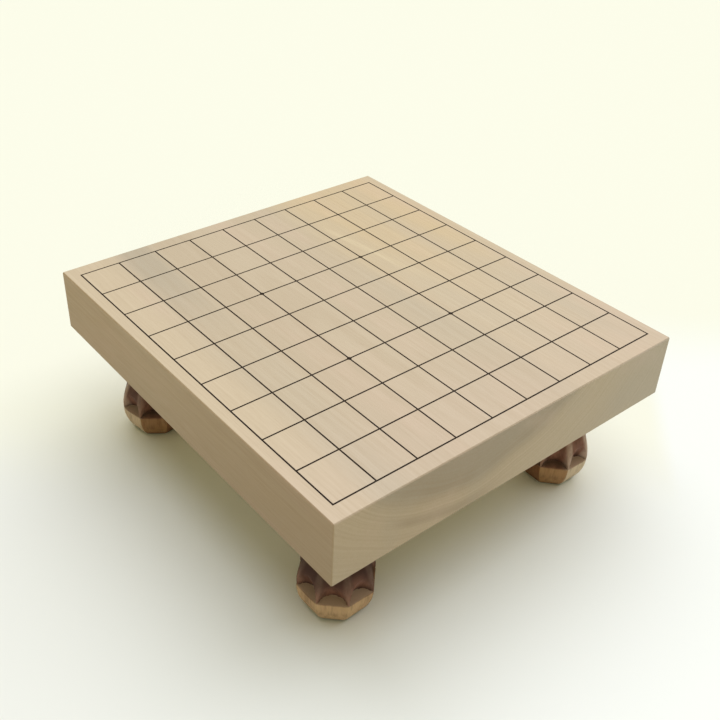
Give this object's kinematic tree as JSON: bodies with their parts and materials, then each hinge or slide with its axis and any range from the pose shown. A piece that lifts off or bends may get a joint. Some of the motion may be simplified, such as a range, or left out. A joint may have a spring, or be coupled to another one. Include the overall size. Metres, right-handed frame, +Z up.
{
  "type": "legged shogi board",
  "caption": "Low wooden game table: a thick square-edged slab with an inlaid lacquer playing grid, standing on carved octagonal fruit-shaped legs that plug into its underside.",
  "frame": {"origin": "on the floor plane under the middle of the slab", "axes": "+X across the board from a player's left to right, +Y along the board from the near player's edge to the far one, +Z up"},
  "size_m": [0.333, 0.364, 0.147],
  "materials": {
    "pale_wood": "planed pale wood, thin satin wax, grain along Y",
    "black_lacquer": "thin black lacquer lines, semi-gloss",
    "leg_wood": "carved wood with a thin reddish brown stain, satin"
  },
  "bodies": {
    "board": {"slab": "pale_wood", "playing_grid": "black_lacquer"},
    "leg_front_left_body": {"leg_front_left": "leg_wood"},
    "leg_front_right_body": {"leg_front_right": "leg_wood"},
    "leg_back_left_body": {"leg_back_left": "leg_wood"},
    "leg_back_right_body": {"leg_back_right": "leg_wood"}
  },
  "joints": [
    {"name": "leg_front_left_pull", "type": "slide", "parent": "board", "child": "leg_front_left_body", "axis": [0, 0, -1], "range_m": [0, 0.025]},
    {"name": "leg_front_right_pull", "type": "slide", "parent": "board", "child": "leg_front_right_body", "axis": [0, 0, -1], "range_m": [0, 0.025]},
    {"name": "leg_back_left_pull", "type": "slide", "parent": "board", "child": "leg_back_left_body", "axis": [0, 0, -1], "range_m": [0, 0.025]},
    {"name": "leg_back_right_pull", "type": "slide", "parent": "board", "child": "leg_back_right_body", "axis": [0, 0, -1], "range_m": [0, 0.025]}
  ]
}
